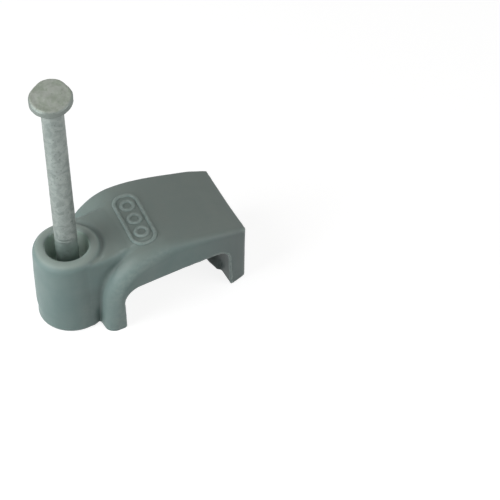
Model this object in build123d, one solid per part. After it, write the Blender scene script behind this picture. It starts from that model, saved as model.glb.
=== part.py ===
from build123d import *
from math import radians, tan
import os

# Nail-in cable clip for a flat cable: a moulded clip body and the masonry nail
# that waits in its boss. Sizes are in millimetres.
# The origin is on the nail's axis, on the wall plane. +X runs from the boss to
# the far leg, +Y runs along the cable and +Z points away from the wall.

# Cable channel
channel_width = 10.0        # clear width for the cable, at the wall
channel_height = 4.45       # clear height from the wall to the ceiling
near_wall_x = 3.2           # foot of the channel's near wall, from the nail's axis
near_wall_lean = 0.1        # how much further back the near wall is at the ceiling
near_corner_radius = 1.5    # channel corner beside the boss
far_corner_radius = 1.2     # channel corner beside the far leg
mouth_bevel = 0.12          # broken edge where the channel opens at front and back

# Arch that bridges the cable
rib_wall = 1.95             # near leg, from the rib's outer face to the channel's foot
roll_radius = 4.9           # large bend from the rib into the crown
crown_height = 7.75         # highest line of the arch
end_height = 5.75           # top corner of the arch over the far leg
near_width = 8.6            # width along the cable at the rib, on the wall plane
far_width = 8.2             # width along the cable at the far end, on the wall plane
near_draft = 5.5            # degrees, how far the front and back faces lean out beside the rib
far_draft = 1.5             # degrees, the same at the far end
edge_round = 0.6            # rounding of the arch's long outer edges

# Far leg and its retaining nib
far_leg_thickness = 1.5     # at the foot
end_lean = 0.3              # how far the end face leans out at the top
foot_rise = 0.4             # outer edge of the foot, clear of the wall
nib_depth = 0.5             # how far the nib reaches into the channel
nib_lift = 0.4              # height of the nib's point above the wall
nib_height = 1.5            # height at which the nib dies out on the leg
nib_setback = 1.9           # plain stretch of the leg in front of the nib
nib_round = 0.12            # rounding of the nib's point

# Nail boss and the web that ties it to the arch
boss_radius = 2.97
boss_height = 7.85
boss_round = 0.7            # rounding of the boss's outer rim
web_inset = 0.4             # each side of the web, inside the boss's side
web_drop = 0.2              # top of the web, below the crown
web_round = 0.5             # rounding of the web's top edges
valley_round = 0.4          # blend between the web's sides and the rib

# Nail
shank_radius = 0.98
head_radius = 1.89
head_thickness = 1.0
head_round = 0.25           # rounding of the head's rim
neck_radius = 1.5           # cone under the head, where it meets the head
neck_height = 0.8           # length of that cone
nail_length = 25.35         # over all, head to point
point_height = 2.7          # length of the four-sided point
point_flat = 0.3            # blunt end of the point, across
point_lift = 0.4            # the point waits this far above the wall

# Hole in the boss
mouth_clearance = 0.03      # radial, between the nail's head and the hole's mouth
mouth_draft = 0.15          # the counterbore's floor is this much smaller in radius
mouth_round = 0.1           # broken edge of the mouth
counterbore_depth = 3.0
nail_clearance = 0.04       # radial, between the nail's shank and the pilot hole

# Places worked out from the sizes above
rib_x = near_wall_x - rib_wall
far_wall_x = near_wall_x + channel_width
foot_x = far_wall_x + far_leg_thickness
end_x = foot_x + end_lean
roll_start = crown_height - roll_radius
crown_x = rib_x + roll_radius
web_half = boss_radius - web_inset
web_height = crown_height - web_drop
overcut = 2.0               # cutting shapes stand this far past what they cut
touching = 0.01             # points closer than this count as being in one place


def upright(*outline):
    """A face in the XZ plane, from lines drawn with height as their second value."""
    return Plane.XZ * make_face([*outline])


def arch_line():
    """Outer line of the arch: up the rib, over the crown and down to the end's top corner."""
    rib = Line((rib_x, 0), (rib_x, roll_start))
    roll = TangentArc((rib_x, roll_start), (crown_x, crown_height), tangent=(0, 1))
    crown = TangentArc((crown_x, crown_height), (end_x, end_height), tangent=(1, 0))
    return rib, roll, crown


def edges_on(solid, wire, least_y):
    """Edges of the solid that follow a wire in the XZ plane, out at its front and back."""
    found = []
    for edge in solid.edges():
        middle = edge @ 0.5
        if abs(middle.Y) > least_y and wire.distance_to(Vertex(middle.X, 0, middle.Z)) < touching:
            found.append(edge)
    return found


def side_plan(height):
    """The arch's outline from above at one height, drawn out past both ends."""
    near_half = near_width / 2 + height * tan(radians(near_draft))
    far_half = far_width / 2 + height * tan(radians(far_draft))
    spread = (far_half - near_half) / (end_x - rib_x) * overcut
    near_x, far_x = rib_x - overcut, end_x + overcut
    near_half, far_half = near_half - spread, far_half + spread
    line = Polyline((near_x, near_half), (near_x, -near_half), (far_x, -far_half), (far_x, far_half), close=True)
    return Pos(0, 0, height) * make_face(line)


def between_sides():
    """The room between the arch's front and back faces, which lean out from the wall up."""
    return loft([side_plan(0), side_plan(crown_height + overcut)], ruled=True)


def arch_blank():
    """The arch and both legs before the channel is cut, wider at the crown than at the wall."""
    underside = Polyline((end_x, end_height), (foot_x, foot_rise), (far_wall_x, 0), (rib_x, 0))
    blank = extrude(upright(*arch_line(), underside), amount=near_width, both=True) & between_sides()
    outer_wire = Plane.XZ * Wire([*arch_line()])
    return fillet(edges_on(blank, outer_wire, far_width / 4), edge_round)


def web():
    """The block between the boss and the arch, nearly as high as the crown."""
    side = Polyline((0, 0), (0, web_height), (crown_x, web_height), (crown_x, 0), close=True)
    block = extrude(upright(side), amount=web_half, both=True)
    top = Plane.XZ * Wire([Line((0, web_height), (crown_x, web_height))])
    return fillet(edges_on(block, top, web_half / 2), web_round)


def boss():
    """The round post that carries the nail, with its outer rim rounded over."""
    post = Cylinder(boss_radius, boss_height, align=(Align.CENTER, Align.CENTER, Align.MIN))
    return fillet(post.edges().group_by(Axis.Z)[-1], boss_round)


def blend_valleys(solid):
    """Round the inner corners where the web's sides run into the rib and its bend."""
    rib_and_roll = Plane.XZ * Wire([*arch_line()[:2]])
    valleys = [
        edge
        for edge in edges_on(solid, rib_and_roll, web_half - touching)
        if abs(abs((edge @ 0.5).Y) - web_half) < touching
    ]
    return fillet(valleys, valley_round)


def channel_line():
    """The channel's walls and ceiling, from the near wall's foot round to the far wall's."""
    near_top_x = near_wall_x - near_wall_lean
    return FilletPolyline(
        (near_wall_x, 0),
        (near_top_x, channel_height),
        (far_wall_x, channel_height),
        (far_wall_x, 0),
        radius=[near_corner_radius, far_corner_radius],
    )


def cut_channel(solid):
    """Open the cable's way through the clip and break its edges at front and back."""
    line = channel_line()
    below = Polyline((far_wall_x, 0), (far_wall_x, -overcut), (near_wall_x, -overcut), (near_wall_x, 0))
    solid = solid - extrude(upright(line, below), amount=near_width, both=True)
    return chamfer(edges_on(solid, Plane.XZ * line, far_width / 4), mouth_bevel)


def nib():
    """The lip inside the far leg that keeps the cable from dropping out."""
    lip = extrude(
        upright(
            Polyline(
                (far_wall_x, 0),
                (far_wall_x - nib_depth, nib_lift),
                (far_wall_x, nib_height),
                (foot_x, nib_height),
                (foot_x, foot_rise),
                close=True,
            )
        ),
        amount=near_width,
        both=True,
    )
    lip = fillet(lip.edges().filter_by(Axis.Y).sort_by(Axis.X)[0], nib_round)
    front = -far_width / 2 + nib_setback
    behind_front = Pos(foot_x, front, 0) * Box(
        2 * channel_width, near_width, crown_height, align=(Align.CENTER, Align.MIN, Align.MIN)
    )
    return lip & behind_front & arch_blank()


def nail_hole():
    """The counterbore that takes the nail's head, and the pilot hole that grips its shank."""
    mouth_radius = head_radius + mouth_clearance
    floor_radius = mouth_radius - mouth_draft
    floor_z = boss_height - counterbore_depth
    pilot_radius = shank_radius + nail_clearance
    outline = Polyline(
        (0, -overcut),
        (pilot_radius, -overcut),
        (pilot_radius, floor_z),
        (floor_radius, floor_z),
        (mouth_radius, boss_height - mouth_round),
        (mouth_radius + mouth_round, boss_height),
        (mouth_radius + mouth_round, boss_height + overcut),
        (0, boss_height + overcut),
        close=True,
    )
    return revolve(upright(outline), Axis.Z)


def clip_body():
    """The whole moulding: arch, legs, web and boss in one piece."""
    solid = blend_valleys(arch_blank() + web() + boss())
    return cut_channel(solid) + nib() - nail_hole()


def nail_point():
    """The four-sided point, up to where its facets have run out on the round shank."""
    half_flat = point_flat / 2
    spread = (shank_radius - half_flat) / point_height
    height = point_height + overcut
    half_top = half_flat + spread * height
    wedge = loft([Rectangle(point_flat, point_flat), Pos(0, 0, height) * Rectangle(2 * half_top, 2 * half_top)])
    core = Cylinder(shank_radius, height, align=(Align.CENTER, Align.CENTER, Align.MIN))
    return Pos(0, 0, point_lift) * (wedge & core)


def masonry_nail():
    """The nail, standing in the boss with its point just clear of the wall."""
    top = point_lift + nail_length
    head_under = top - head_thickness
    shank_start = point_lift + point_height + overcut
    side = upright(
        Polyline(
            (0, shank_start),
            (shank_radius, shank_start),
            (shank_radius, head_under - neck_height),
            (neck_radius, head_under),
            (head_radius, head_under),
            (head_radius, top),
            (0, top),
            close=True,
        )
    )
    shank = revolve(side, Axis.Z)
    rims = [edge for edge in shank.edges().filter_by(GeomType.CIRCLE) if abs(edge.radius - head_radius) < touching]
    return fillet(rims, head_round) + nail_point()


os.makedirs("parts", exist_ok=True)
export_step(clip_body(), "parts/clip_body.step")
export_step(masonry_nail(), "parts/masonry_nail.step")
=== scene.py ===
import math

import bmesh
import bpy
import numpy as np
from mathutils import Matrix, Vector, noise


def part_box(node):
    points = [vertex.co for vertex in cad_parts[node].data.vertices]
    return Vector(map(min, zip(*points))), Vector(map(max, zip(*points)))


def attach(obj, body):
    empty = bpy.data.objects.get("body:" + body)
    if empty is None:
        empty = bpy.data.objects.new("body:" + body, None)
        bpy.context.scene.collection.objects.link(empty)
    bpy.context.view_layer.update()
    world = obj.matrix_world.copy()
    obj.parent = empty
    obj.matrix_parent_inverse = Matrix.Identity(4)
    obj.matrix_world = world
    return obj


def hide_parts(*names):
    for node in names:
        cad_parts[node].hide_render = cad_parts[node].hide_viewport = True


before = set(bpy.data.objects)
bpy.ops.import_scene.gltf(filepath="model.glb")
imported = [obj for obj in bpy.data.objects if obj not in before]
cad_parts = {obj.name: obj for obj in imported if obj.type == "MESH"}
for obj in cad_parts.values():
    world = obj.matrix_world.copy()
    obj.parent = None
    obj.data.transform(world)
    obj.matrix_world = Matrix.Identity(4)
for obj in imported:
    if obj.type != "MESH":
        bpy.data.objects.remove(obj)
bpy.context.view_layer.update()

mm = 0.001
tiny = 1e-6  # keeps a division from failing
scene = bpy.context.scene
scene.view_settings.view_transform = "Standard"


# Small helpers for meshes


def newObject(name, data):
    obj = bpy.data.objects.new(name, data)
    scene.collection.objects.link(obj)
    return obj


def settle(obj):
    # the object's modifiers applied to its mesh
    graph = bpy.context.evaluated_depsgraph_get()
    mesh = bpy.data.meshes.new_from_object(obj.evaluated_get(graph))
    obj.modifiers.clear()
    old = obj.data
    obj.data = mesh
    bpy.data.meshes.remove(old)


def pointsOf(mesh, kind="co"):
    # a row of three for each point
    flat = np.empty(len(mesh.vertices) * 3)
    mesh.vertices.foreach_get(kind, flat)
    return flat.reshape(-1, 3)


def normalsOf(mesh):
    return pointsOf(mesh, "normal")


def movePoints(mesh, points):
    mesh.vertices.foreach_set("co", points.ravel())
    mesh.update()


def shadeSmooth(mesh):
    mesh.polygons.foreach_set("use_smooth", [True] * len(mesh.polygons))


def paint(obj, material):
    obj.data.materials.clear()
    obj.data.materials.append(material)


def rows(x, y, z):
    return np.stack([x, y, z], axis=1)


def ease(low, high, value):
    # 0 below low, 1 above high, smooth between
    t = np.clip((value - low) / (high - low), 0, 1)
    return t * t * (3 - 2 * t)


def fade(low, high, value):
    # 1 below low, 0 above high, smooth between
    return ease(high, low, value)


def band(start, full, last, end, value):
    # 1 from full to last, 0 before start and after end, smooth between
    return ease(start, full, value) * fade(last, end, value)


def bell(offset, width):
    return np.exp(-((offset / width) ** 2))


def ripple(points, size, seed):
    # smooth noise from -1 to 1 at each point, its humps about this size
    shift = Vector((seed * 7.3, seed * 3.1, seed * 5.7))
    return np.array([noise.noise(Vector(p) / size + shift) for p in points])


def weigh(obj, name, weight, levels=20):
    # a vertex group from an array of weights, in this many levels
    group = obj.vertex_groups.new(name=name)
    for level in range(1, levels + 1):
        chosen = np.nonzero(np.ceil(weight * levels) == level)[0]
        group.add(chosen.tolist(), level / levels, "REPLACE")


def arc(middle, radius, start, end, steps):
    # places on an arc between two angles in degrees
    return [
        (middle[0] + radius * math.cos(a), middle[1] + radius * math.sin(a))
        for a in np.radians(np.linspace(start, end, steps + 1))
    ]


def bridged(shape, rings):
    # faces from each ring of points to the next
    faces = []
    for first, second in zip(rings, rings[1:]):
        for i in range(len(first)):
            j = (i + 1) % len(first)
            faces.append(shape.faces.new((first[i], first[j], second[j], second[i])))
    return faces


# Small helpers for node trees


class Tree:
    # a node tree, with short calls for adding to it
    def __init__(self, tree):
        self.nodes, self.links = tree.nodes, tree.links

    def join(self, source, target):
        self.links.new(source, target)

    def feed(self, socket, value):
        # another socket is joined to this one, anything else is its plain value
        if isinstance(value, bpy.types.NodeSocket):
            self.join(value, socket)
        else:
            socket.default_value = value

    def add(self, kind, out=0, mode=None, **inputs):
        # a node with inputs given by name; one of its outputs comes back
        node = self.nodes.new(kind)
        if mode:
            node.mode = mode
        for name, value in inputs.items():
            self.feed(node.inputs[name.replace("_", " ")], value)
        return node.outputs[out]

    def maths(self, operation, first, second):
        node = self.nodes.new("ShaderNodeMath")
        node.operation = operation
        self.feed(node.inputs[0], first)
        self.feed(node.inputs[1], second)
        return node.outputs["Value"]

    def ramp(self, value, low, high, start=0.0, end=1.0):
        # a value from low to high becomes one from start to end
        limits = {"From_Min": low, "From_Max": high, "To_Min": start, "To_Max": end}
        return self.add("ShaderNodeMapRange", Value=value, **limits)

    def shown(self):
        # 1 for a ray that shows the thing itself, also mirrored or through glass
        path = self.nodes.new("ShaderNodeLightPath").outputs
        seen = self.maths("MAXIMUM", path["Is Camera Ray"], path["Is Glossy Ray"])
        return self.maths("MAXIMUM", seen, path["Is Transmission Ray"])


class Shader(Tree):
    # a material's tree
    def __init__(self, name):
        self.material = bpy.data.materials.new(name)
        self.material.use_nodes = True
        super().__init__(self.material.node_tree)
        self.surface = self.nodes["Principled BSDF"]
        self.place = self.nodes.new("ShaderNodeTexCoord").outputs

    def set(self, **inputs):
        for name, value in inputs.items():
            self.feed(self.surface.inputs[name.replace("_", " ")], value)

    def along(self, space, axis):
        # one coordinate of the object's own space or of the normal
        return self.add("ShaderNodeSeparateXYZ", out=axis, Vector=self.place[space])

    def stored(self, name):
        node = self.nodes.new("ShaderNodeAttribute")
        node.attribute_name = name
        return node.outputs["Fac"]

    def noiseAt(self, size, detail=2.0, roughness=0.5, stretch=(1, 1, 1), warp=0.0):
        # size is how far apart the humps are, in mm
        scale = [s / (size * mm) for s in stretch]
        place = self.add("ShaderNodeMapping", Vector=self.place["Object"], Scale=scale)
        look = {"Detail": detail, "Roughness": roughness, "Distortion": warp}
        return self.add("ShaderNodeTexNoise", out="Fac", Vector=place, Scale=1.0, **look)

    def mixed(self, factor, first, second):
        # a colour between two; each is a socket or a plain colour
        node = self.nodes.new("ShaderNodeMix")
        node.data_type = "RGBA"
        self.join(factor, node.inputs["Factor"])
        for socket, colour in ((node.inputs[6], first), (node.inputs[7], second)):
            self.feed(socket, (*colour, 1.0) if isinstance(colour, tuple) else colour)
        return node.outputs[2]

    def bump(self, height, depth, strength=1.0, **under):
        # depth in mm; Normal is a bump that this one lies on
        return self.add(
            "ShaderNodeBump", Height=height, Distance=depth * mm, Strength=strength, **under
        )


noiseSpan = (0.3, 0.7)  # most values of a noise texture lie between these


# Moulded plastic

# sizes in mm
plasticLook = {
    "side": (0.174, 0.246, 0.236),  # body colour, linear
    "patch": (0.200, 0.268, 0.256),  # paler clouds in it
    "upper": (0.213, 0.257, 0.237),  # greyer where faces look up: dust, and a painted sheen on the top
    "farShade": (0.160, 0.186, 0.182),  # painted shade: darker and less green towards the far leg, where the light falls off
    "edge": (0.300, 0.365, 0.345),  # rubbed edges, and the painted highlight on the rib's broad edge
    "paintedShade": (0.085, 0.115, 0.110),  # painted shade in the hollows, low on the web's sides and inside the channel
    "holeLightAndPaleRim": (0.56, 0.66, 0.60),  # pale: painted light inside the hole, and a paler top on the rim round it
    "glow": (0.25, (0.6, 0.75, 0.7)),  # share of light let in, and how far
    "cloudSize": 3.2,
    "cloudRange": (0.38, 0.68),  # noise values where a cloud starts and is full
    "fade": (9.5, 14.0, 0.7),  # along X, from and to, and the share there
    "facingUp": (0.55, 0.97),  # the normal's height where dust starts and is full
    "dustSize": 1.6,
    "dustRange": (0.3, 0.65, 0.78, 1.0),  # noise values, and the shares there
    "speckleSize": 0.35,  # in the rubbed colour
    "speckleRange": (0.35, 0.7, 0.35, 1.0),
    "grainSize": 0.09,  # the mould's fine texture
    "grainDepth": 0.0035,
    "flowSize": 1.1,  # a faint unevenness
    "flowDepth": 0.012,
    "hazeSize": 0.9,
    "roughness": (0.40, 0.52),
    "gloss": 0.36,
}


def mouldedPlastic():
    look = plasticLook
    s = Shader("greyGreenPlastic")
    clouds = s.noiseAt(look["cloudSize"], detail=3.0, warp=0.4)
    body = s.mixed(s.ramp(clouds, *look["cloudRange"]), look["side"], look["patch"])
    # painted shade, growing towards the far leg
    start, end, share = look["fade"]
    away = s.ramp(s.along("Object", "X"), start * mm, end * mm, 0.0, share)
    body = s.mixed(away, body, look["farShade"])
    # greyer on faces looking up, in patches: dust, and a painted sheen on the top
    facingUp = s.ramp(s.along("Normal", "Z"), *look["facingUp"])
    dust = s.ramp(s.noiseAt(look["dustSize"], detail=4.0), *look["dustRange"])
    body = s.mixed(s.maths("MULTIPLY", facingUp, dust), body, look["upper"])
    # painted light inside the hole, and a paler top on the rim
    body = s.mixed(s.stored("holeLightAndPaleRim"), body, look["holeLightAndPaleRim"])
    speckle = s.ramp(s.noiseAt(look["speckleSize"], detail=3.0), *look["speckleRange"])
    # rubbed edges, and a painted highlight on the rib's broad edge
    body = s.mixed(s.maths("MULTIPLY", s.stored("edgeWear"), speckle), body, look["edge"])
    # painted shade in the hollows, low on the web's sides and inside the channel
    body = s.mixed(s.stored("paintedShade"), body, look["paintedShade"])
    haze = s.noiseAt(look["hazeSize"], detail=4.0, stretch=(1.0, 1.0, 0.45))
    grain = s.bump(s.noiseAt(look["grainSize"]), look["grainDepth"])
    flow = s.noiseAt(look["flowSize"], detail=3.0, stretch=(0.6, 1.6, 1.0))
    letIn, reach = look["glow"]
    s.set(
        Base_Color=body,
        Subsurface_Weight=letIn,
        Subsurface_Radius=reach,
        Subsurface_Scale=mm,
        Roughness=s.ramp(haze, *noiseSpan, *look["roughness"]),
        Specular_IOR_Level=look["gloss"],
        Normal=s.bump(flow, look["flowDepth"], Normal=grain),
    )
    return s.material


# Galvanised steel

# sizes and heights in mm
zincLook = {
    "pale": (0.337, 0.376, 0.357),
    "dull": (0.228, 0.264, 0.249),
    "dark": (0.127, 0.149, 0.141),
    "struck": (0.36, 0.385, 0.345),  # the head's top, brighter and a little yellow
    "stained": (0.28, 0.315, 0.260),  # greenish patches on it
    "gripped": (0.173, 0.226, 0.209),  # darker below the grip rings
    "gripEnd": (8.7, 9.3, 0.8, 0.0),  # up, from and to, and the shares there
    "rim": (0.188, 0.216, 0.198),  # the head's edge
    "rimStart": (24.4, 24.6, 0.0, 0.8),
    "facingUp": (0.68, 0.95),  # the normal's height where the top starts and is full
    "topShare": 0.9,
    "stainSize": 0.8,
    "stainRange": (0.40, 0.62),  # noise values where a patch starts and is full
    "spangle": 0.75,  # across one crystal patch
    "spangleRange": (0.36, 0.62),
    "pitSize": 0.20,
    "pitRange": (0.60, 0.74),
    "pitShares": (0.7, 0.2),  # on the sides and on the top
    "pitDepth": 0.012,
    "lumpSize": 0.42,
    "lumpDepth": 0.02,
    "relief": 0.8,  # share of both depths
    "metallic": 0.6,
    "roughness": (0.44, 0.62),
}


def galvanisedSteel():
    look = zincLook
    s = Shader("galvanisedSteel")
    spangles = s.noiseAt(look["spangle"], detail=4.0, roughness=0.6, warp=0.8)
    body = s.mixed(s.ramp(spangles, *look["spangleRange"]), look["dull"], look["pale"])
    height = s.along("Object", "Z")
    for colour, reach in (("gripped", "gripEnd"), ("rim", "rimStart")):
        low, high, *shares = look[reach]
        body = s.mixed(s.ramp(height, low * mm, high * mm, *shares), body, look[colour])
    facingUp = s.ramp(s.along("Normal", "Z"), *look["facingUp"], 0.0, look["topShare"])
    stains = s.noiseAt(look["stainSize"], detail=4.0, roughness=0.6)
    top = s.mixed(s.ramp(stains, *look["stainRange"]), look["struck"], look["stained"])
    body = s.mixed(facingUp, body, top)
    pits = s.noiseAt(look["pitSize"], roughness=0.55)
    fewer = s.ramp(facingUp, 0.0, look["topShare"], *look["pitShares"])
    pitted = s.maths("MULTIPLY", s.ramp(pits, *look["pitRange"]), fewer)
    skin = s.bump(pits, look["pitDepth"], look["relief"])
    lumps = s.noiseAt(look["lumpSize"], detail=3.0)
    s.set(
        Base_Color=s.mixed(pitted, body, look["dark"]),
        Metallic=look["metallic"],
        Roughness=s.ramp(spangles, *noiseSpan, *look["roughness"]),
        Normal=s.bump(lumps, look["lumpDepth"], look["relief"], Normal=skin),
    )
    return s.material


plastic = mouldedPlastic()
zinc = galvanisedSteel()
print("materials ready")


# Clip body: an even skin over the CAD solid, its edges and valleys softened as on a moulding.
# All its sizes and places are in mm: along X, from the middle to the sides, and up.

clipSkin = {
    "grid": 0.095,  # between points
    "softSteps": 3,  # everywhere, for broken edges
    "farSoft": 0.15,  # share of that at the crisper far leg and on the wall
    "farLeg": (11.5, 13.0),  # along X, where the far leg's crisper edges begin
    "wallEdge": (0.1, 0.4),  # up, where the edges on the wall end
    "wallFrom": (1.5, 2.5),  # along X, where they begin
    "blendSteps": 3,  # most, where the web runs into the bend
    "waveSize": 4.0,
    "waveDepth": 0.012,
    "waveFrom": 0.4,  # up, where the waves are full
    "looseFit": 0.12,  # how far the skin may stand out of the CAD box
}

# where the skin is blended into its surroundings: start, full, last and end of each zone
blendZones = {
    "bend": {"along": (1.2, 1.8, 5.2, 6.6), "side": (2.1, 2.6, 3.4, 3.9), "up": (3.0, 4.5)},
    "foot": {"along": (0.2, 0.8, 1.6, 2.0), "side": (2.6, 2.9, 3.2, 3.5), "up": (-2, -1)},
    "crest": {"along": (5.0, 6.0, 6.6, 8.0), "side": (-2, -1, 3.0, 3.6), "up": (7.3, 7.5)},
}
blendShares = {"bend": 1.0, "foot": 0.25, "crest": 1.0}

# the arch as in the CAD source, and how its edges are rounded here
archForm = {
    "rib": 1.25,
    "roll": 4.9,
    "crown": 7.75,
    "end": (15.0, 5.75),  # top corner of the end face
    "foot": (14.7, 0.4),  # its lower corner
    "halfWidths": (4.3, 4.1),  # at the wall, at the rib and at the end
    "drafts": (5.5, 1.5),  # degrees
    "cadRound": 0.6,
    "places": (2.0, 6.0, 10.0, 15.0),
    "rounds": (1.6, 1.35, 0.75, 0.32),  # front edge at those places along X
    "ribFoot": (3.0, 0.66),  # height, share: the rib's edges are crisper below it
    "ribEnd": (3.0, 4.0),  # along X, where that fades out
    "backShare": 0.4,  # the back edge is crisper
    "endRounds": (0.35, 0.12),  # upright edges of the end face, front and back
    "edgesFrom": 2.9,  # from the middle: the long edges lie further out
    "trueFrom": 4.0,  # along X: from here the crown's points lie on the arc itself
    "slack": 0.05,  # how far off a face a point still counts as on it
    "nearRound": 0.85,  # share of a round's radius, the same for a round
}

# the rib's front stands further from the boss than the solid's and is fuller at its foot
ribFront = {
    "back": ((0.0, 3.0), (0.12, 0.25)),  # up, and how far it stands back there
    "backSide": (2.6, 2.95),  # to the front, from and to
    "backEnd": (5.5, 8.0),  # along X, where it dies out
    "backDepth": (-0.8, -0.1, 0.5, 1.9),  # below the arch's outer line
    "wallEase": 0.5,  # up, where a shift up or down is full
    "full": 0.08,  # how much further forward the foot reaches
    "fullSide": (3.2, 3.8),
    "fullEnd": (3.5, 5.0),
    "fullTop": (1.0, 4.0),
}

# the web's sides are widened to be flush with the boss
webForm = {
    "half": 2.92,
    "inner": 2.05,  # the added slabs start this far from the middle
    "top": 7.55,
    "round": 0.5,  # the top edges
    "deep": 0.5,  # the slabs end this deep inside the arch
    "steps": (6, 16),  # on the round, and along the bend
    "low": 1.5,  # along X: up to here they reach down to the wall
    "short": 0.3,  # they end this far before the bend's middle
    "valleyAt": (4.0, 5.2, 6.0, 6.7),  # up
    "valleys": (0.22, 0.4, 0.4, 0.15),  # round of the valleys beside the web at those heights
    "footRound": 0.3,
    "bossTurn": (0.5, 4.0),  # up: below, the sides follow the boss
    "turnReach": (1.05, 1.5),  # factor and furthest place along X of that
    "along": (0.35, 0.75, 5.5, 6.5),
    "side": (2.4, 2.8, 3.05, 3.5),
    "cutOut": 0.2,  # outside the sides, where the round of the foot has gone
}

bossSkin = {
    "radius": 2.97,
    "heights": (0.0, 1.5, 5.0, 7.3, 7.8),
    "swell": (0.06, 0.11, 0.11, 0.05, 0.05),  # wider than the CAD solid at those heights
    "footRound": 0.45,
    "end": (0.35, 0.75),  # along X, where the web takes over
    "outer": (2.2, 2.6),  # radii from the hole's wall, left alone, to the boss's skin
    "dent": ((1.18, 1.0), (1.6, 0.55), 0.10),  # place along Y and up, widths, depth
    "dentEnd": (-2.2, -1.2),  # along X
    "crease": (3.02, 0.24, 0.14),  # groove in the web round the rim: radius, width, depth
    "creaseUp": (6.7, 7.2),
    "creaseFrom": (0.4, 1.6),
    "creaseSide": (2.2, 2.8),
    "mouth": (1.93, 2.0),  # radii of the hole's edge
    # share of painted light inside the hole
    "holeLight": 1.0,
    "rimEdge": (2.65, 2.9),  # radii where the flat of the rim ends
    "rimUp": (7.3, 7.6),
    # share of the paler colour on the rim's top
    "rimPale": 0.22,
}

# the crown isn't a true arc: a little full over the bend and hollow before the far leg
crownForm = {
    "places": (3.5, 5.0, 6.5, 8.0, 9.0, 11.0, 12.5, 14.0, 15.0),  # along X
    "rise": (0.0, 0.10, 0.14, 0.09, 0.0, -0.09, -0.06, 0.09, 0.12),
    "blur": 0.8,  # the rise is averaged this far each way
    "depth": (0.6, 1.3),  # below the outer line, where it dies out
    "from": (3.4, 3.9),
    "endFrom": (14.0, 14.7),  # along X, where the end face begins
    "lean": 0.03,  # further out at its top
    "leanUp": (4.0, 5.5),
    "back": 0.09,  # its back corner stands further out
    "backSide": (-1.0, 4.6),
    "narrow": 0.035,  # share, the arch draws in towards its end
    "narrowFrom": (13.3, 15.0),
    "nibFull": 0.22,  # the nib is fuller away from its front end
    "nibAlong": (12.3, 12.6, 13.15, 13.25),
    "nibUp": (0.8, 1.6),
    "nibSide": (-2.2, -0.8),
}

# where the skin is rubbed pale, where its rim is paler, and where highlight, shade and light are
# painted on it
marksLook = {
    "wearSpread": 3,  # steps of smoothing
    "wearTurn": (1.2, 3.4),  # 1/mm, curvature where it starts and is full
    "offWall": 0.3,  # up, where the marks are full
    "grooveSpread": 50,
    "grooveTurn": (0.12, 1.1),
    "grooveShare": 0.45,
    "ribHighlight": 0.6,  # painted highlight: share of the pale colour on the rib's broad edge and foot, where they face the front
    "ribFoot": (2.0, 5.0),  # up, from the foot's front face to the broad edge above it
    "ribFacing": (3, 3.1),  # power and factor of keeping to that edge
    "ribSide": (2.9, 3.2),  # to the front
    "ribDepth": (1.6, 2.3),  # below the outer line
    "ribEnd": (6.5, 9.0),  # along X
    "channelShare": 0.95,  # painted shade inside the cable channel
    "channelAlong": (3.0, 3.3, 13.3, 13.5),
    "channelUp": (4.5, 4.6),
    "channelIn": (0.1, 0.5),  # behind the front face, and before the back one
    "webShare": 0.3,  # painted shade low on the boss and the web's sides, towards the rib
    "webFrom": (-1.2, 0.8),
    "webUp": (4.0, 5.5),
    "webDepth": (-0.1, 0.3),
    "webSide": (2.4, 2.7, 3.3, 3.8),
}


def bendMiddle():
    return archForm["rib"] + archForm["roll"], archForm["crown"] - archForm["roll"]


def crownArc():
    # height of the centre and radius of the arch's upper arc
    run, drop = archForm["end"][0] - bendMiddle()[0], archForm["crown"] - archForm["end"][1]
    radius = (run * run + drop * drop) / (2 * drop)
    return archForm["crown"] - radius, radius


def belowOuter(x, z):
    # depth below the arch's outer line, and the direction out of it
    middle, bendZ = bendMiddle()
    arcZ, radius = crownArc()
    onCrown = x > middle
    outX, outZ = x - middle, z - np.where(onCrown, arcZ, np.minimum(bendZ, z))
    far = np.maximum(np.hypot(outX, outZ), tiny)
    return np.where(onCrown, radius, archForm["roll"]) - far, outX / far, outZ / far


def belowSide(x, y, z):
    # depth below the front or back face
    near, far = (
        half + z * math.tan(math.radians(draft))
        for half, draft in zip(archForm["halfWidths"], archForm["drafts"])
    )
    t = (x - archForm["rib"]) / (archForm["end"][0] - archForm["rib"])
    return near + (far - near) * t - abs(y)


def pushed(points, outward, directionX, directionZ, sideways):
    # points moved along a direction in the XZ plane, and away from the middle
    x, y, z = points.T
    return rows(x + outward * directionX, y + sideways * np.sign(y), z + outward * directionZ)


def rounder(a, b, radius):
    # both depths of points outside a corner's round, moved on to that round
    fromA, fromB = radius - a, radius - b
    size = np.hypot(fromA, fromB)
    outside = (fromA > 0) & (fromB > 0) & (size > radius)
    share = np.where(outside, radius / np.maximum(size, tiny), 1)
    newA = np.where(outside, radius - fromA * share, a)
    newB = np.where(outside, radius - fromB * share, b)
    return newA, newB


def crisper(a, b, old, new):
    # both depths of points on an old, larger round, moved out on to the new, smaller one
    u, v = (old - a) / old, (old - b) / old
    size = np.maximum(np.hypot(u, v), tiny)
    onRound = (u > 0) & (v > 0) & (size > archForm["nearRound"])
    u, v = u / size, v / size
    flat = old / np.maximum(np.maximum(u, v), tiny)
    gap = old - new
    total = gap * (u + v)
    curved = total + np.sqrt(np.maximum(total ** 2 - (2 * gap ** 2 - new ** 2), 0))
    onCurve = old - flat * np.minimum(u, v) < new
    reach = np.where(onCurve, curved, flat) * size
    return np.where(onRound, old - u * reach, a), np.where(onRound, old - v * reach, b)


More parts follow.
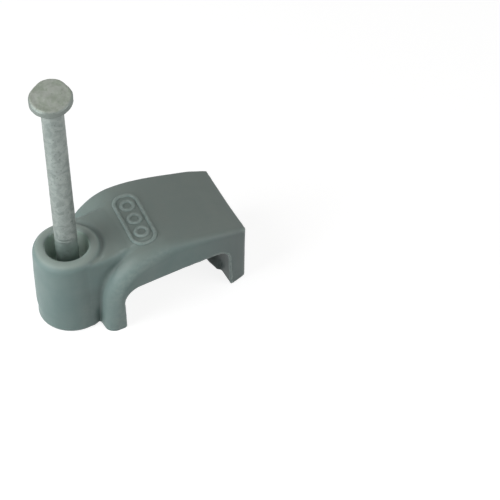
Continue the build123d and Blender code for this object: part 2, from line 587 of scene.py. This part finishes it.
def longEdges(points):
    # the arch's long edges rounded broadly at the rib and crisply at the far end
    look = archForm
    x, y, z = points.T
    a, outX, outZ = belowOuter(x, z)
    b = belowSide(x, y, z)
    height, share = look["ribFoot"]
    low = np.clip(1 - z / height, 0, 1) * fade(*look["ribEnd"], x)
    wanted = np.interp(x, look["places"], look["rounds"]) * (1 - (1 - share) * low)
    wanted = np.where(y > 0, wanted * look["backShare"], wanted)
    old, slack = look["cadRound"], look["slack"]
    softA, softB = rounder(a, b, wanted)
    crispA, crispB = crisper(a, b, old, np.minimum(wanted, old))
    newA = np.where(wanted >= old, softA, crispA)
    newB = np.where(wanted >= old, softB, crispB)
    onArc = (abs(a) < slack) & (b > np.maximum(wanted, old)) & (x > look["trueFrom"])
    newA = np.where(onArc, 0, newA)
    onArch = (abs(y) > look["edgesFrom"]) & (a > -slack) & (b > -slack)
    return pushed(points, np.where(onArch, a - newA, 0), outX, outZ, np.where(onArch, b - newB, 0))


def endEdges(points):
    # the upright edges of the end face
    x, y, z = points.T
    (endX, endZ), (footX, footZ) = archForm["end"], archForm["foot"]
    length = math.hypot(endX - footX, endZ - footZ)
    acrossX, acrossZ = (endZ - footZ) / length, (footX - endX) / length
    a = (endX - x) * acrossX + (endZ - z) * acrossZ
    b = belowSide(x, y, z)
    newA, newB = rounder(a, b, np.where(y < 0, *archForm["endRounds"]))
    return pushed(points, a - newA, acrossX, acrossZ, b - newB)


def addWebSlabs(shape):
    # two slabs on the web, so that its sides are flush with the boss
    look = webForm
    middle, bendZ = bendMiddle()
    inner = archForm["roll"] - look["deep"]
    corner = look["half"] - look["round"], look["top"] - look["round"]
    onRound, onBend = look["steps"]
    topEdge = arc(corner, look["round"], 0, 90, onRound)
    inArch = np.linspace(middle - inner, middle - look["short"], onBend)
    for side in (-1, 1):
        rings = []
        for x in (0.0, look["low"], *inArch):
            low = 0.0 if x <= look["low"] else bendZ + math.sqrt(inner ** 2 - (middle - x) ** 2)
            section = [(look["inner"], low), (look["half"], low), *topEdge]
            section.append((look["inner"], look["top"]))
            rings.append([shape.verts.new((x, side * y, z)) for y, z in section])
        faces = [shape.faces.new(rings[0]), shape.faces.new(rings[-1]), *bridged(shape, rings)]
        bmesh.ops.recalc_face_normals(shape, faces=faces)


def roundValleys(points):
    # the corner between the web's sides and the rib with its bend, widest halfway up
    look = webForm
    slack = archForm["slack"]
    x, y, z = points.T
    below, outX, outZ = belowOuter(x, z)
    a = abs(y) - look["half"]
    newA, newB = rounder(a, -below, np.interp(z, look["valleyAt"], look["valleys"]))
    inValley = (a > -slack) & (below < slack) & (x < bendMiddle()[0])
    outward = np.where(inValley, newB + below, 0)
    return pushed(points, outward, outX, outZ, np.where(inValley, newA - a, 0))


def setBackRib(points):
    # the rib and its bend stand a little further from the boss at the front
    look = ribFront
    x, y, z = points.T
    below, outX, outZ = belowOuter(x, z)
    back = np.interp(z, *look["back"]) * ease(*look["backSide"], -y)
    back *= fade(*look["backEnd"], x) * band(*look["backDepth"], below)
    full = look["full"] * ease(*look["fullSide"], -y)
    full *= fade(*look["fullEnd"], x) * fade(*look["fullTop"], z)
    down = back * outZ * ease(0.0, look["wallEase"], z)
    return rows(x - back * outX, y - full, np.maximum(z - down, 0))


def blendWeight(points):
    # how much each point of the skin is blended into its surroundings
    x, y, z = points.T
    weight = np.zeros(len(points))
    for name, zone in blendZones.items():
        inZone = band(*zone["along"], x) * band(*zone["side"], abs(y)) * ease(*zone["up"], z)
        weight = np.maximum(weight, inZone * blendShares[name])
    return weight


def softWeight(points):
    # how soft each point's edges become
    look = clipSkin
    x, z = points[:, 0], points[:, 2]
    onWall = fade(*look["wallEdge"], z) * ease(*look["wallFrom"], x)
    crisp = np.maximum(ease(*look["farLeg"], x), onWall)
    return 1 - (1 - look["farSoft"]) * crisp


def bossSwell(points):
    # shifts for swelling sides, a rounded foot and a dent low on the outside
    look = bossSkin
    x, y, z = points.T
    fromAxis = np.hypot(x, y)
    far = np.maximum(fromAxis, tiny)
    free = fade(*look["end"], x) * ease(*look["outer"], fromAxis)
    side, up = rounder(look["radius"] - fromAxis, z, look["footRound"])
    wider = look["radius"] - side - fromAxis + np.interp(z, look["heights"], look["swell"])
    (dentY, dentZ), (wide, high), depth = look["dent"]
    dent = bell(y - dentY, wide) * bell(z - dentZ, high) * fade(*look["dentEnd"], x)
    wider = (wider - depth * dent) * free
    return rows(wider * x / far, wider * y / far, (up - z) * free)


def webSwell(points):
    # shifts for the web's sides, which follow the boss near the wall and are flat above
    look = webForm
    x, y, z = points.T
    onSide = band(*look["along"], x) * band(*look["side"], abs(y))
    radius = bossSkin["radius"] + np.interp(z, bossSkin["heights"], bossSkin["swell"])
    factor, furthest = look["turnReach"]
    turned = factor * np.clip(x, 0, furthest) * fade(*look["bossTurn"], z)
    inside = np.maximum(look["half"] - abs(y), 0)
    side, up = rounder(inside, z, look["footRound"])
    cut = fade(look["half"], look["half"] + look["cutOut"], abs(y))
    wider = np.sqrt(radius ** 2 - turned ** 2) - look["half"] - (side - inside) * cut
    return rows(0 * x, np.sign(y) * onSide * wider, (up - z) * onSide * cut)


def rimCrease(points):
    # shifts for the groove in the web's top round the boss's rim
    look = bossSkin
    x, y, z = points.T
    radius, width, depth = look["crease"]
    onWeb = ease(*look["creaseUp"], z) * ease(*look["creaseFrom"], x)
    onWeb *= fade(*look["creaseSide"], abs(y))
    return rows(0 * x, 0 * y, -depth * onWeb * bell(np.hypot(x, y) - radius, width))


def easedCrown(points):
    # the crown, the end face and the nib, each a little off its drawn form
    look = crownForm
    x, y, z = points.T
    nearby = np.linspace(-look["blur"], look["blur"], 9)
    rise = np.mean([np.interp(x + step, look["places"], look["rise"]) for step in nearby], axis=0)
    rise *= fade(*look["depth"], belowOuter(x, z)[0]) * ease(*look["from"], x)
    out = look["lean"] * ease(*look["leanUp"], z)
    out += look["back"] * ease(*look["backSide"], y)
    out *= ease(*look["endFrom"], x)
    onNib = band(*look["nibAlong"], x) * fade(*look["nibUp"], z)
    out -= look["nibFull"] * onNib * ease(*look["nibSide"], y)
    narrow = 1 - look["narrow"] * ease(*look["narrowFrom"], x)
    return rows(x + out, y * narrow, z + rise)


def surfaceMarks(mesh):
    # stores where the skin is rubbed pale, where its rim is paler, and where highlight, shade and
    # light are painted on it; the mesh is in mm here
    look = marksLook
    points, normals = pointsOf(mesh), normalsOf(mesh)
    ends = np.empty(len(mesh.edges) * 2, dtype=int)
    mesh.edges.foreach_get("vertices", ends)
    first, second = ends.reshape(-1, 2).T
    count = len(points)
    near = np.bincount(first, minlength=count) + np.bincount(second, minlength=count)

    def around(values):
        # the mean of each point's neighbours
        total = np.bincount(first, values[second], count)
        return (total + np.bincount(second, values[first], count)) / near

    def spread(values, steps):
        for _ in range(steps):
            values = 0.5 * values + 0.5 * around(values)
        return values

    middle = np.stack([around(column) for column in points.T], axis=1)
    turn = -np.einsum("ij,ij->i", middle - points, normals) * 4 / clipSkin["grid"] ** 2
    x, y, z = points.T
    offWall = ease(0.0, look["offWall"], z)
    below, outX, outZ = belowOuter(x, z)

    paleShare = ease(*look["wearTurn"], spread(turn, look["wearSpread"]))
    facingOut = np.clip(normals[:, 0] * outX + normals[:, 2] * outZ, 0, 1)
    facingFront = np.clip(-normals[:, 1], 0, 1)
    foot = fade(*look["ribFoot"], z)
    power, factor = look["ribFacing"]
    broad = np.clip(facingFront ** power * (foot + (1 - foot) * factor * facingOut), 0, 1)
    broad *= ease(*look["ribSide"], -y) * fade(*look["ribDepth"], below)
    # painted highlight on the rib's broad edge, where it faces the front
    paleShare = np.maximum(paleShare, look["ribHighlight"] * broad * fade(*look["ribEnd"], x))

    # painted shade in the hollows, where the surface curves inward
    hollow = ease(*look["grooveTurn"], -spread(turn, look["grooveSpread"]))
    # painted shade low on the boss and the web's sides
    onWeb = ease(*look["webFrom"], x) * fade(*look["webUp"], z)
    onWeb *= fade(*look["webDepth"], below) * band(*look["webSide"], abs(y))
    paintedShade = np.maximum(look["grooveShare"] * hollow, look["webShare"] * onWeb)
    # painted shade inside the cable channel
    inside = band(*look["channelAlong"], x) * fade(*look["channelUp"], z)
    inside *= look["channelShare"] * ease(*look["channelIn"], belowSide(x, y, z))

    fromAxis = np.hypot(x, y)
    # painted light inside the hole; the rim's top is paler
    hole = bossSkin["holeLight"] * fade(*bossSkin["mouth"], fromAxis)
    rim = fade(*bossSkin["rimEdge"], fromAxis) * ease(*bossSkin["rimUp"], z)
    marks = {
        "edgeWear": paleShare * offWall,
        "paintedShade": np.maximum(paintedShade * offWall * (hole == 0), inside),
        "holeLightAndPaleRim": np.maximum(bossSkin["rimPale"] * rim, hole),
    }
    for name, values in marks.items():
        mesh.attributes.new(name, "FLOAT", "POINT").data.foreach_set("value", values)


def clipBody():
    look = clipSkin
    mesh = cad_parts["clip_body"].data.copy()
    shape = bmesh.new()
    shape.from_mesh(mesh)
    bmesh.ops.remove_doubles(shape, verts=shape.verts, dist=0.001 * mm)
    bmesh.ops.scale(shape, vec=[1 / mm] * 3, verts=shape.verts)
    addWebSlabs(shape)
    shape.to_mesh(mesh)
    shape.free()
    obj = newObject("clipBody", mesh)
    remesh = obj.modifiers.new("evenSkin", "REMESH")
    remesh.mode = "VOXEL"
    remesh.voxel_size = look["grid"]
    remesh.use_smooth_shade = True
    settle(obj)

    points = endEdges(longEdges(pointsOf(obj.data)))
    movePoints(obj.data, setBackRib(roundValleys(points)))
    points = pointsOf(obj.data)
    weigh(obj, "blend", blendWeight(points))
    weigh(obj, "soft", softWeight(points))
    for group in ("blend", "soft"):
        smooth = obj.modifiers.new(group, "SMOOTH")
        smooth.iterations = look[group + "Steps"]
        smooth.vertex_group = group
    settle(obj)
    obj.vertex_groups.clear()

    mesh = obj.data
    points = easedCrown(pointsOf(mesh))
    points = points + bossSwell(points) + webSwell(points) + rimCrease(points)
    wave = look["waveDepth"] * ripple(points, look["waveSize"], 1)
    wave *= ease(0.0, look["waveFrom"], points[:, 2])
    movePoints(mesh, points + normalsOf(mesh) * wave[:, None])
    surfaceMarks(mesh)
    low, high = (np.array(corner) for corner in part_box("clip_body"))
    loose = look["looseFit"] * mm
    points = np.clip(pointsOf(mesh) * mm, low - loose, high + loose)
    points[:, 2] = np.maximum(points[:, 2], low[2])
    movePoints(mesh, points)
    paint(obj, plastic)
    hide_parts("clip_body")
    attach(obj, "clip")
    return obj


clip = clipBody()
print("clip body made,", len(clip.data.polygons), "faces")


# What the raised mark and the flash share: a group of Geometry Nodes


class Growth(Tree):
    # a group with inputs of these names and kinds, Wear and Material among them
    def __init__(self, name, **inputs):
        self.group = bpy.data.node_groups.new(name, "GeometryNodeTree")
        super().__init__(self.group)
        face = self.group.interface
        self.sockets = {
            label: face.new_socket(label, in_out="INPUT", socket_type="NodeSocket" + kind)
            for kind, labels in inputs.items()
            for label in labels
        }
        face.new_socket("Geometry", in_out="OUTPUT", socket_type="NodeSocketGeometry")
        self.given = self.nodes.new("NodeGroupInput").outputs

    def finish(self, geometry):
        # marks the geometry as rubbed, gives it the material and hands it out
        plain = self.add("GeometryNodeRealizeInstances", Geometry=geometry)
        given = self.given
        paleShare = {"Name": "edgeWear", "Value": given["Wear"]}
        worn = self.add("GeometryNodeStoreNamedAttribute", Geometry=plain, **paleShare)
        dressed = self.add("GeometryNodeSetMaterial", Geometry=worn, Material=given["Material"])
        self.join(dressed, self.nodes.new("NodeGroupOutput").inputs[0])

    def grow(self, obj, values):
        modifier = obj.modifiers.new(self.group.name, "NODES")
        modifier.node_group = self.group
        for name, value in values.items():
            modifier[self.sockets[name].identifier] = value
        settle(obj)
        shadeSmooth(obj.data)


# Raised mark on the crown: a flat cable's section, a rounded outline round a row of cores

# sizes in mm
cableMark = {
    "middle": (6.4, -0.05),  # on the crown
    "length": 5.9,  # along the clip's width
    "height": 2.05,
    "corner": 0.42,  # share of the height that its corners are rounded by
    "cores": 3,
    "coreSpacing": 1.7,
    "coreRadius": 0.53,
    "line": 0.18,  # half the width of the raised line
    "lineStep": 0.07,  # between points of it
    "steps": (14, 36, 12),  # points on a corner, round a core and round the line
    "sunk": 0.02,  # how far the line's middle lies below the surface
    "turn": -4.0,  # degrees
    "dropFrom": 12,  # above the wall, from where it is dropped on the skin
    "dropReach": 20,
    "paleShare": 1.0,  # share of the rubbed colour
}


def markTree():
    look = cableMark
    tree = Growth(
        "cableSectionMark",
        Float=("Length", "Height", "Core Spacing", "Core Radius", "Line", "Sunk", "Wear"),
        Int=("Cores",),
        Vector=("Middle", "Turn"),
        Object=("Skin",),
        Material=("Material",),
    )
    given, add, maths = tree.given, tree.add, tree.maths
    bend, around, sides = look["steps"]

    # outline: a rectangle with fully rounded ends
    outline = add(
        "GeometryNodeCurvePrimitiveQuadrilateral", Width=given["Height"], Height=given["Length"]
    )
    corner = maths("MULTIPLY", given["Height"], look["corner"])
    rounded = add("GeometryNodeFilletCurve", mode="POLY", Curve=outline, Radius=corner, Count=bend)

    # cores: circles on a row of points
    reach = maths("MULTIPLY", maths("SUBTRACT", given["Cores"], 1), given["Core Spacing"])
    row = add(
        "GeometryNodeMeshLine",
        mode="OFFSET",
        Count=given["Cores"],
        Start_Location=add("ShaderNodeCombineXYZ", Y=maths("MULTIPLY", reach, -0.5)),
        Offset=add("ShaderNodeCombineXYZ", Y=given["Core Spacing"]),
    )
    ring = add("GeometryNodeCurvePrimitiveCircle", Resolution=around, Radius=given["Core Radius"])
    rings = add("GeometryNodeInstanceOnPoints", Points=row, Instance=ring)

    both = tree.nodes.new("GeometryNodeJoinGeometry")
    tree.join(rounded, both.inputs[0])
    tree.join(add("GeometryNodeRealizeInstances", Geometry=rings), both.inputs[0])
    step = look["lineStep"] * mm
    fine = add("GeometryNodeResampleCurve", mode="LENGTH", Curve=both.outputs[0], Length=step)
    placed = add(
        "GeometryNodeTransform", Geometry=fine, Translation=given["Middle"], Rotation=given["Turn"]
    )

    # drop the lines on to the clip's skin
    hit = add(
        "GeometryNodeRaycast",
        out="Hit Position",
        Target_Geometry=add("GeometryNodeObjectInfo", out="Geometry", Object=given["Skin"]),
        Ray_Direction=(0, 0, -1),
        Ray_Length=look["dropReach"] * mm,
    )
    down = add("ShaderNodeCombineXYZ", Z=maths("MULTIPLY", given["Sunk"], -1.0))
    laid = add("GeometryNodeSetPosition", Geometry=placed, Position=hit, Offset=down)
    section = add("GeometryNodeCurvePrimitiveCircle", Resolution=sides, Radius=given["Line"])
    tree.finish(add("GeometryNodeCurveToMesh", Curve=laid, Profile_Curve=section))
    return tree


def raisedMark(skin):
    look = cableMark
    obj = newObject("raisedMark", bpy.data.meshes.new("raisedMark"))
    values = {
        "Length": look["length"] * mm,
        "Height": look["height"] * mm,
        "Cores": look["cores"],
        "Core Spacing": look["coreSpacing"] * mm,
        "Core Radius": look["coreRadius"] * mm,
        "Line": look["line"] * mm,
        "Sunk": look["sunk"] * mm,
        "Wear": look["paleShare"],
        "Middle": [c * mm for c in (*look["middle"], look["dropFrom"])],
        "Turn": (0.0, 0.0, math.radians(look["turn"])),
        "Skin": skin,
        "Material": plastic,
    }
    markTree().grow(obj, values)
    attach(obj, "clip")
    return obj


mark = raisedMark(clip)
print("raised mark made,", len(mark.data.polygons), "faces")


# Flash: a thin lumpy bead where the mould's halves met, along the channel's edge at the far leg

# sizes and places in mm
flashLine = {
    "wall": 13.2,  # the channel's far wall
    "ceiling": 4.45,
    "corner": 1.2,
    "end": 8.8,  # where it dies out along the ceiling
    "foot": 0.15,  # above the wall plane
    "inset": 0.06,  # behind the front face
    "step": 0.06,  # between rings of points
    "thickness": 0.12,  # radius of the bead
    "steps": (24, 11, 10),  # points on each straight, on the corner and round the bead
    "lump": 0.5,  # from one lump to the next
    "lumpShares": (0.6, 1.1),  # of the radius, in the hollows and on the lumps
    "thinFrom": 0.55,  # share of its length where it starts to thin out
    "paleShare": 1.0,
}


def flashPath():
    # up the wall, round the corner and along the ceiling, on the front face
    look = flashLine
    wall, ceiling = look["wall"] + look["inset"], look["ceiling"] + look["inset"]
    corner = look["corner"]
    count, bend, _ = look["steps"]
    line = [(wall, z) for z in np.linspace(look["foot"], ceiling - corner, count)]
    line += arc((wall - corner, ceiling - corner), corner, 0, 90, bend)[1:]
    line += [(x, ceiling) for x in np.linspace(wall - corner, look["end"], count)[1:]]
    x, z = np.array(line).T
    points = rows(x, look["inset"] - belowSide(x, 0.0, z), z) * mm
    mesh = bpy.data.meshes.new("flash")
    mesh.from_pydata(points.tolist(), [(i, i + 1) for i in range(len(points) - 1)], [])
    return mesh


def beadTree():
    look = flashLine
    tree = Growth(
        "lumpyBead",
        Geometry=("Geometry",),
        Float=("Thickness", "Lump", "Wear"),
        Material=("Material",),
    )
    path = tree.add("GeometryNodeMeshToCurve", Mesh=tree.given["Geometry"])
    step = look["step"] * mm
    fine = tree.add("GeometryNodeResampleCurve", mode="LENGTH", Curve=path, Length=step)
    along = tree.nodes.new("GeometryNodeSplineParameter").outputs
    lumps = tree.nodes.new("ShaderNodeTexNoise")
    lumps.noise_dimensions = "1D"
    lumps.inputs["Scale"].default_value = 1.0
    tree.join(tree.maths("DIVIDE", along["Length"], tree.given["Lump"]), lumps.inputs["W"])
    size = tree.ramp(lumps.outputs[0], *noiseSpan, *look["lumpShares"])
    thin = tree.ramp(along["Factor"], 1.0, look["thinFrom"])
    sides, radius = look["steps"][2], tree.given["Thickness"]
    section = tree.add("GeometryNodeCurvePrimitiveCircle", Resolution=sides, Radius=radius)
    bead = tree.add(
        "GeometryNodeCurveToMesh",
        Curve=fine,
        Profile_Curve=section,
        Scale=tree.maths("MULTIPLY", size, thin),
        Fill_Caps=True,
    )
    tree.finish(bead)
    return tree


def flash():
    look = flashLine
    obj = newObject("flash", flashPath())
    values = {
        "Thickness": look["thickness"] * mm,
        "Lump": look["lump"] * mm,
        "Wear": look["paleShare"],
        "Material": plastic,
    }
    beadTree().grow(obj, values)
    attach(obj, "clip")
    return obj


seam = flash()
print("flash made,", len(seam.data.polygons), "faces")


# Nail: turned outline with a four-sided point, its surface lumpy from hot zinc

# sizes and heights in mm
nailShape = {
    "shank": 0.98,  # radius
    "head": 1.89,  # radius
    "headThick": 1.22,
    "rimRound": (0.28, 0.27),  # lower and upper edge
    "rimLift": 0.06,  # from the neck to the lower edge
    "neck": 1.62,  # radius under the head
    "neckLength": 0.95,
    "foot": 0.4,  # height of the point above the wall
    "top": 25.75,
    "point": 2.7,  # length of the four-sided point
    "cutTo": 1.5,  # times that, how far up its sides are cut
    "flat": 0.15,  # half of the blunt end
    "around": 128,  # points round it
    "curveSteps": 8,  # on the neck and on each edge of the head
    "step": 0.06,  # between rings of points
    "lumpSizes": (0.5, 0.22),  # the large ones and those half as deep
    "lumpDepth": 0.012,  # twice as much on the head
    "headStart": 0.3,  # above and below the head's underside
    "flats": ((118, 25, 0.13), (-62, 30, 0.08), (16, 24, 0.10)),  # the head's: degrees, width, mm
    "dish": (1.35, 0.22, 0.035),  # ring stamped in the head: radius, half width, depth
    "dents": (0.7, 0.045, 0.3),  # unevenness of the head's top: size, depth, share all over
    "lean": (67, 0.27, 0.15),  # degrees to its higher side, how far up there, how far down in all
    "gripRings": ((9.38, 0.018), (9.2, -0.018), (9.0, 0.02), (8.84, -0.015)),  # up, relief
    "gripWidth": 0.06,
    "gripSide": -2.2,  # radians, where round the nail the rings are
    "gripRange": (0.4, 0.95),  # cosines off that side where they start and are full
    "shankLimit": (20, 1.005),  # mm: below this height it stays inside this radius, for the hole
}


def nailOutline():
    look = nailShape
    shank, top = look["shank"], look["top"]
    under = top - look["headThick"]
    neckStart = under - look["neckLength"]
    low, high = look["rimRound"]
    line = [(look["flat"], look["foot"]), (shank, look["foot"] + 0.001), (shank, neckStart)]
    steps = look["curveSteps"]
    for t in np.linspace(0, 1, steps + 1)[1:]:  # hollow cone up to the head
        line.append((shank + (look["neck"] - shank) * t ** 2, neckStart + look["neckLength"] * t))
    for height, curve, start in ((under + look["rimLift"] + low, low, -90), (top - high, high, 0)):
        line += arc((look["head"] - curve, height), curve, start, start + 90, steps)
    line.append((0.0, top))
    return line


def evenly(line, step):
    # the same line with more places on it, about a step apart
    fine = [line[0]]
    for (r0, z0), (r1, z1) in zip(line, line[1:]):
        count = max(1, round(math.hypot(r1 - r0, z1 - z0) / step))
        for i in range(1, count + 1):
            fine.append((r0 + (r1 - r0) * i / count, z0 + (z1 - z0) * i / count))
    return fine


def turnedNail():
    # the outline turned round the axis, and cut to four sides at the point
    look = nailShape
    shape = bmesh.new()
    rings = []
    for radius, height in evenly(nailOutline(), look["step"])[:-1]:
        climb = height - look["foot"]
        side = look["flat"] + (look["shank"] - look["flat"]) * climb / look["point"]
        ring = []
        for i in range(look["around"]):
            a = 2 * math.pi * (i + 0.5) / look["around"]
            reach = side / max(abs(math.cos(a)), abs(math.sin(a)))
            r = min(radius, reach) if climb < look["point"] * look["cutTo"] else radius
            ring.append(shape.verts.new((r * math.cos(a), r * math.sin(a), height)))
        rings.append(ring)
    bridged(shape, rings)
    for height, ring in ((look["foot"], rings[0]), (look["top"], rings[-1])):
        middle = shape.verts.new((0, 0, height))
        for i in range(len(ring)):
            shape.faces.new((middle, ring[i - 1], ring[i]))
    bmesh.ops.recalc_face_normals(shape, faces=shape.faces)
    mesh = bpy.data.meshes.new("masonryNail")
    shape.to_mesh(mesh)
    shape.free()
    return mesh


def struckNail(points, normals):
    # lumps of zinc, the rings where it was gripped, and the uneven head
    look = nailShape
    x, y, z = points.T
    angle = np.arctan2(y, x)
    under = look["top"] - look["headThick"]
    inHead = ease(under - look["headStart"], under + look["headStart"], z)
    large, small = look["lumpSizes"]
    lumps = ripple(points, large, 2) + 0.5 * ripple(points, small, 3)
    relief = look["lumpDepth"] * lumps * (1 + inHead)
    gripped = ease(*look["gripRange"], np.cos(angle - look["gripSide"]))
    for height, depth in look["gripRings"]:
        relief += depth * bell(z - height, look["gripWidth"]) * gripped
    points = points + normals * relief[:, None]
    shrink = np.ones(len(points))
    for middle, width, depth in look["flats"]:
        off = (np.degrees(angle) - middle + 180) % 360 - 180
        shrink -= inHead * depth / look["head"] * bell(off, width)
    points[:, :2] *= shrink[:, None]

    reach = np.hypot(*points[:, :2].T)
    radius, width, depth = look["dish"]
    dentSize, dentDepth, allOver = look["dents"]
    drop = depth * bell(reach - radius, width) + dentDepth * (allOver - ripple(points, dentSize, 5))
    side, rise, lower = look["lean"]
    across = math.cos(math.radians(side)), math.sin(math.radians(side))
    drop += lower - rise * (points[:, :2] @ across) / look["head"]
    points[:, 2] -= drop * ease(under, look["top"], z)
    points[:, 2] = np.minimum(points[:, 2], look["top"] + rise - lower)
    limitEnd, narrow = look["shankLimit"]
    limit = np.where(z < limitEnd, narrow, look["head"])
    points[:, :2] *= np.minimum(1, limit / np.maximum(reach, tiny))[:, None]
    return points


def nail():
    mesh = turnedNail()
    movePoints(mesh, struckNail(pointsOf(mesh), normalsOf(mesh)) * mm)
    obj = newObject("masonryNail", mesh)
    shadeSmooth(mesh)
    paint(obj, zinc)
    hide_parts("masonry_nail")
    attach(obj, "nail")
    return obj


steelNail = nail()
print("nail made,", len(steelNail.data.polygons), "faces")


# Floor, light and camera

studio = {
    "floorSize": 4.0,  # m
    "floorGap": 0.02,  # mm below the wall plane
    "floorColour": (0.32, 0.32, 0.32),
    "floorGlow": 0.86,  # plain white that the camera sees on top of the floor's own light
    "ambient": (0.13, 0.128, 0.125),
    "aim": (5, 0, 4),  # mm
}

# places and sizes in mm; a level of 1 lights a facing surface to its own colour
lamps = {
    "key": {"place": (-57, -5, 21), "size": 58, "level": 0.66, "colour": (0.95, 1.0, 1.0)},
    "upper": {"place": (-51, 4, 61), "size": 60, "level": 0.42, "colour": (1.0, 1.0, 1.0)},
    "fill": {"place": (87, -98, 61), "size": 110, "level": 0.37, "colour": (1.0, 0.99, 0.98)},
}


def floor():
    half, height = studio["floorSize"] / 2, -studio["floorGap"] * mm
    corners = [(-half, -half), (half, -half), (half, half), (-half, half)]
    mesh = bpy.data.meshes.new("floor")
    mesh.from_pydata([(x, y, height) for x, y in corners], [], [(0, 1, 2, 3)])
    obj = newObject("floor", mesh)
    s = Shader("whiteFloor")
    s.set(Base_Color=(*studio["floorColour"], 1), Roughness=0.9, Specular_IOR_Level=0.0)
    glow = s.maths("MULTIPLY", s.shown(), studio["floorGlow"])
    both = s.nodes.new("ShaderNodeAddShader")
    s.join(s.surface.outputs[0], both.inputs[0])
    s.join(s.add("ShaderNodeEmission", Strength=glow), both.inputs[1])
    s.join(both.outputs[0], s.nodes["Material Output"].inputs["Surface"])
    mesh.materials.append(s.material)


def surroundings():
    world = bpy.data.worlds.new("studio")
    scene.world = world
    world.use_nodes = True
    tree = Tree(world.node_tree)
    ambient = tree.nodes["Background"]
    ambient.inputs["Color"].default_value = (*studio["ambient"], 1)
    white = tree.add("ShaderNodeBackground", Color=(1, 1, 1, 1))
    blend = tree.nodes.new("ShaderNodeMixShader")
    for source, socket in zip((tree.shown(), ambient.outputs[0], white), blend.inputs):
        tree.join(source, socket)
    tree.join(blend.outputs[0], tree.nodes["World Output"].inputs["Surface"])


def softLamp(name, place, size, level, colour):
    data = bpy.data.lights.new(name, "AREA")
    data.shape = "DISK"
    data.size = size * mm
    data.color = colour
    start, end = Vector(place) * mm, Vector(studio["aim"]) * mm
    data.energy = level * math.pi ** 2 * (end - start).length_squared
    lamp = newObject(name, data)
    lamp.location = start
    lamp.rotation_euler = (end - start).to_track_quat("-Z", "Y").to_euler()


shot = {
    "eye": (-96.996, -263.087, 294.833),  # mm
    "look": (0.27651, 0.63820, -0.71851),
    "right": (0.89574, -0.44200, -0.04788),
    "lens": 338.1,
}


def camera():
    data = bpy.data.cameras.new("camera")
    data.sensor_width = 36
    data.lens = shot["lens"]
    data.clip_start = 0.01
    data.clip_end = 10
    obj = newObject("camera", data)
    back = -Vector(shot["look"]).normalized()
    up = back.cross(Vector(shot["right"])).normalized()
    right = up.cross(back)
    turned = Matrix((right, up, back)).transposed().to_4x4()
    obj.matrix_world = Matrix.Translation(Vector(shot["eye"]) * mm) @ turned
    scene.camera = obj


floor()
surroundings()
for name, look in lamps.items():
    softLamp(name + "Light", **look)
camera()
print("studio ready")
